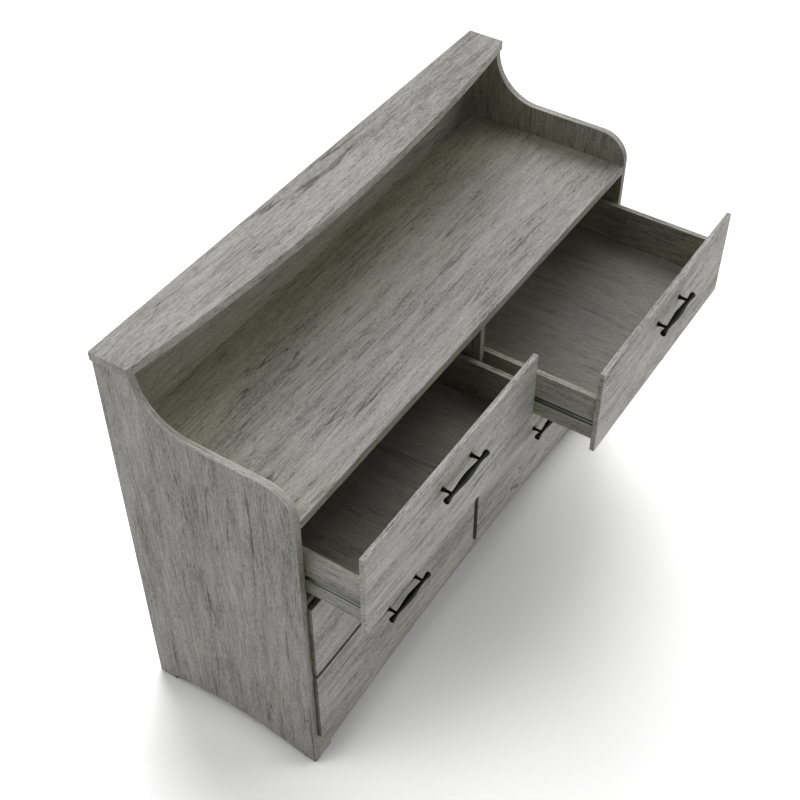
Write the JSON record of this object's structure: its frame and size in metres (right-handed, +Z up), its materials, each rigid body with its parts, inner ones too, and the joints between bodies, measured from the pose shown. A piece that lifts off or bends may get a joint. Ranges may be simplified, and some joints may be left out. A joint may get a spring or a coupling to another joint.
{
  "type": "dresser with hutch",
  "caption": "Wide chest of drawers with a low hutch: drawers on side runners under a desktop, and side arms that sweep up to a bow-fronted top shelf.",
  "frame": {"origin": "middle of the rear plinth's underside, on the floor, halfway across the dresser", "axes": "+X to the right as one faces the drawers, along the dresser's length; +Y to the back; +Z up"},
  "size_m": [1.21, 0.6819, 0.928],
  "materials": {
    "grey_oak_board": "grey-washed oak grain melamine, satin, on particle board",
    "grey_oak_front": "grey-washed oak grain melamine, satin, grain along the front",
    "grey_oak_drawer_box": "grey-washed oak grain melamine, satin, grain from front to back",
    "grey_hardboard": "printed grey hardboard, dull",
    "black_iron": "black enamel, semi-gloss",
    "zinc_steel": "zinc-plated rolled steel"
  },
  "bodies": {
    "carcass": {"left_side_panel": "grey_oak_board", "right_side_panel": "grey_oak_board", "front_plinth": "grey_oak_board", "rear_plinth": "grey_oak_board", "bottom_board": "grey_oak_board", "centre_divider": "grey_oak_board", "left_mid_board": "grey_oak_board", "right_mid_board": "grey_oak_board", "desktop": "grey_oak_board", "hutch_back_board": "grey_oak_board", "top_shelf": "grey_oak_board", "back_panel": "grey_hardboard", "top_left_runner_left": "zinc_steel", "top_left_runner_right": "zinc_steel", "top_right_runner_left": "zinc_steel", "top_right_runner_right": "zinc_steel", "middle_left_runner_left": "zinc_steel", "middle_left_runner_right": "zinc_steel", "middle_right_runner_left": "zinc_steel", "middle_right_runner_right": "zinc_steel", "bottom_left_runner_left": "zinc_steel", "bottom_left_runner_right": "zinc_steel", "bottom_right_runner_left": "zinc_steel", "bottom_right_runner_right": "zinc_steel"},
    "top_left_drawer": {"top_left_drawer_front": "grey_oak_front", "top_left_drawer_left_side": "grey_oak_drawer_box", "top_left_drawer_right_side": "grey_oak_drawer_box", "top_left_drawer_back": "grey_oak_drawer_box", "top_left_drawer_bottom": "grey_oak_drawer_box", "top_left_drawer_handle": "black_iron"},
    "top_right_drawer": {"top_right_drawer_front": "grey_oak_front", "top_right_drawer_left_side": "grey_oak_drawer_box", "top_right_drawer_right_side": "grey_oak_drawer_box", "top_right_drawer_back": "grey_oak_drawer_box", "top_right_drawer_bottom": "grey_oak_drawer_box", "top_right_drawer_handle": "black_iron"},
    "middle_left_drawer": {"middle_left_drawer_front": "grey_oak_front", "middle_left_drawer_left_side": "grey_oak_drawer_box", "middle_left_drawer_right_side": "grey_oak_drawer_box", "middle_left_drawer_back": "grey_oak_drawer_box", "middle_left_drawer_bottom": "grey_oak_drawer_box", "middle_left_drawer_handle": "black_iron"},
    "middle_right_drawer": {"middle_right_drawer_front": "grey_oak_front", "middle_right_drawer_left_side": "grey_oak_drawer_box", "middle_right_drawer_right_side": "grey_oak_drawer_box", "middle_right_drawer_back": "grey_oak_drawer_box", "middle_right_drawer_bottom": "grey_oak_drawer_box", "middle_right_drawer_handle": "black_iron"},
    "bottom_left_drawer": {"bottom_left_drawer_front": "grey_oak_front", "bottom_left_drawer_left_side": "grey_oak_drawer_box", "bottom_left_drawer_right_side": "grey_oak_drawer_box", "bottom_left_drawer_back": "grey_oak_drawer_box", "bottom_left_drawer_bottom": "grey_oak_drawer_box", "bottom_left_drawer_handle": "black_iron"},
    "bottom_right_drawer": {"bottom_right_drawer_front": "grey_oak_front", "bottom_right_drawer_left_side": "grey_oak_drawer_box", "bottom_right_drawer_right_side": "grey_oak_drawer_box", "bottom_right_drawer_back": "grey_oak_drawer_box", "bottom_right_drawer_bottom": "grey_oak_drawer_box", "bottom_right_drawer_handle": "black_iron"}
  },
  "joints": [
    {"name": "top_left_drawer_slide", "type": "slide", "parent": "carcass", "child": "top_left_drawer", "axis": [0, -1, 0], "range_m": [-0.116, 0.144]},
    {"name": "top_right_drawer_slide", "type": "slide", "parent": "carcass", "child": "top_right_drawer", "axis": [0, -1, 0], "range_m": [-0.244, 0.016]},
    {"name": "middle_left_drawer_slide", "type": "slide", "parent": "carcass", "child": "middle_left_drawer", "axis": [0, -1, 0], "range_m": [0, 0.26]},
    {"name": "middle_right_drawer_slide", "type": "slide", "parent": "carcass", "child": "middle_right_drawer", "axis": [0, -1, 0], "range_m": [0, 0.26]},
    {"name": "bottom_left_drawer_slide", "type": "slide", "parent": "carcass", "child": "bottom_left_drawer", "axis": [0, -1, 0], "range_m": [0, 0.26]},
    {"name": "bottom_right_drawer_slide", "type": "slide", "parent": "carcass", "child": "bottom_right_drawer", "axis": [0, -1, 0], "range_m": [0, 0.26]}
  ]
}
